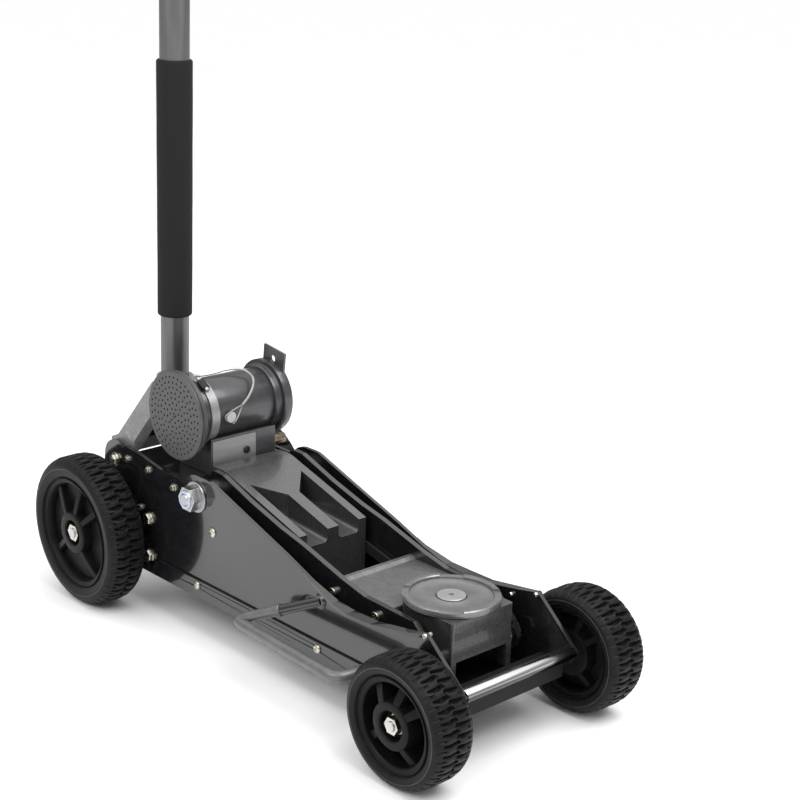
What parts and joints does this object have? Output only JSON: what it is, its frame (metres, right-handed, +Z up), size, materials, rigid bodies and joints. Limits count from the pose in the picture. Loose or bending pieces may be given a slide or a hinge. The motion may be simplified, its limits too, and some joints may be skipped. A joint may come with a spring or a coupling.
{
  "type": "hydraulic floor jack",
  "caption": "Low trolley jack on four large off-road wheels: a hydraulic ram lifts an arm with a level, swivelling saddle; a tall pump handle and an air motor drive the pump.",
  "frame": {"origin": "on the ground, midway between the rearmost and foremost points of the tyres, in the jack's middle plane", "axes": "+X from the handle towards the saddle, +Z up, +Y to the jack's left side"},
  "size_m": [0.9965, 0.414, 1.1842],
  "materials": {
    "gloss_black": "gloss black powder coat",
    "hammered_grey": "silver-grey hammered paint",
    "motor_grey": "dark gunmetal gloss paint",
    "yoke_grey": "light grey hammered paint",
    "handle_gunmetal": "gunmetal gloss paint",
    "zinc": "yellowish zinc plating",
    "steel": "machined steel",
    "chrome": "hard chrome",
    "brass": "dull brass",
    "foam": "textured black foam",
    "tyre": "black rubber with an off-road tread",
    "wheel_plastic": "matte black moulded plastic",
    "sleeve_plastic": "gloss black plastic"
  },
  "bodies": {
    "frame": {"side_plate_right": "gloss_black", "side_plate_left": "gloss_black", "skid_plate": "gloss_black", "front_axle_beam": "gloss_black", "front_tie_rod": "chrome", "top_bracket": "gloss_black", "rear_axle": "steel", "front_axle": "steel", "axle_nuts": "zinc", "wheel_bushes": "wheel_plastic", "main_shaft": "steel", "main_shaft_nuts": "zinc", "main_shaft_spacers": "zinc", "frame_hex_bolts": "zinc", "button_bolts": "zinc", "yoke_pivot_bolts": "zinc", "power_block": "gloss_black", "reservoir": "gloss_black", "ram_cylinder": "steel", "ram_cover": "hammered_grey", "rod_anchor_pins": "steel", "motor_base": "motor_grey", "motor_cylinder": "motor_grey", "motor_intake_cap": "motor_grey", "motor_end_flange": "motor_grey", "motor_clamp_band": "steel", "air_fittings": "brass", "lanyard": "steel", "carry_handles": "hammered_grey", "carry_sleeves": "sleeve_plastic", "return_springs": "steel"},
    "arm": {"arm_plate_right": "gloss_black", "arm_plate_left": "gloss_black", "arm_bushes": "brass", "arm_deck": "hammered_grey", "arm_deck_bolts": "zinc", "saddle_pin": "steel"},
    "links": {"pull_links": "steel"},
    "rods": {"levelling_rods": "steel"},
    "carrier": {"saddle_block": "hammered_grey"},
    "saddle": {"saddle": "hammered_grey", "saddle_cap": "zinc"},
    "ram": {"ram_piston": "chrome", "ram_crosshead": "steel"},
    "pump": {"pump_piston": "chrome"},
    "release": {"release_valve": "steel"},
    "air_piston": {"motor_piston": "steel"},
    "yoke": {"handle_yoke": "yoke_grey", "pump_roller": "steel"},
    "handle": {"handle_tube": "handle_gunmetal", "handle_sleeve": "foam", "handle_grip": "foam"},
    "rear_wheel_right": {"rear_rim_right": "wheel_plastic", "rear_tyre_right": "tyre"},
    "rear_wheel_left": {"rear_rim_left": "wheel_plastic", "rear_tyre_left": "tyre"},
    "front_wheel_right": {"front_rim_right": "wheel_plastic", "front_tyre_right": "tyre"},
    "front_wheel_left": {"front_rim_left": "wheel_plastic", "front_tyre_left": "tyre"}
  },
  "joints": [
    {"name": "arm_lift", "type": "hinge", "parent": "frame", "child": "arm", "pos_m": [-0.14325, 0, 0.235], "axis": [0, -1, 0], "range_deg": [0, 50]},
    {"name": "carrier_level", "type": "hinge", "parent": "arm", "child": "carrier", "pos_m": [0.34275, 0, 0.124], "axis": [0, -1, 0], "range_deg": [-50, 0]},
    {"name": "saddle_turn", "type": "hinge", "parent": "carrier", "child": "saddle", "pos_m": [0.30675, 0, 0.184], "axis": [0, 0, 1], "continuous": true},
    {"name": "rod_swing", "type": "hinge", "parent": "frame", "child": "rods", "pos_m": [-0.13825, 0, 0.208], "axis": [0, -1, 0], "range_deg": [0, 50]},
    {"name": "link_swing", "type": "hinge", "parent": "arm", "child": "links", "pos_m": [-0.17706, 0, 0.1625], "axis": [0, -1, 0], "range_deg": [-50, 0]},
    {"name": "ram_stroke", "type": "slide", "parent": "frame", "child": "ram", "axis": [1, 0, 0], "range_m": [0, 0.06782], "deforming": ["return_springs"]},
    {"name": "yoke_swing", "type": "hinge", "parent": "frame", "child": "yoke", "pos_m": [-0.37225, 0, 0.237], "axis": [0, 1, 0], "range_deg": [-75, 3]},
    {"name": "pump_stroke", "type": "slide", "parent": "frame", "child": "pump", "axis": [1, 0, 0], "range_m": [-0.002, 0.0437]},
    {"name": "handle_twist", "type": "hinge", "parent": "yoke", "child": "handle", "pos_m": [-0.35725, 0, 0.3], "axis": [0.0419, 0, 0.9991], "range_deg": [0, 120]},
    {"name": "release_turn", "type": "hinge", "parent": "frame", "child": "release", "pos_m": [-0.34125, 0.038, 0.15], "axis": [1, 0, 0], "range_deg": [0, 120]},
    {"name": "air_stroke", "type": "slide", "parent": "frame", "child": "air_piston", "axis": [0, 1, 0], "range_m": [0, 0.03]},
    {"name": "rear_wheel_right_spin", "type": "hinge", "parent": "frame", "child": "rear_wheel_right", "pos_m": [-0.37125, 0, 0.127], "axis": [0, 1, 0], "continuous": true},
    {"name": "rear_wheel_left_spin", "type": "hinge", "parent": "frame", "child": "rear_wheel_left", "pos_m": [-0.37125, 0, 0.127], "axis": [0, 1, 0], "continuous": true},
    {"name": "front_wheel_right_spin", "type": "hinge", "parent": "frame", "child": "front_wheel_right", "pos_m": [0.40475, 0, 0.0935], "axis": [0, 1, 0], "continuous": true},
    {"name": "front_wheel_left_spin", "type": "hinge", "parent": "frame", "child": "front_wheel_left", "pos_m": [0.40475, 0, 0.0935], "axis": [0, 1, 0], "continuous": true}
  ],
  "couplings": [
    {"joint": "carrier_level", "follows": "arm_lift", "ratio": -1},
    {"joint": "rod_swing", "follows": "arm_lift", "ratio": 1},
    {"joint": "link_swing", "follows": "arm_lift", "ratio": -1},
    {"joint": "ram_stroke", "follows": "arm_lift", "m_per_rad": 0.077486},
    {"joint": "pump_stroke", "follows": "yoke_swing", "m_per_rad": -0.033232},
    {"joint": "release_turn", "follows": "handle_twist", "ratio": 1}
  ]
}
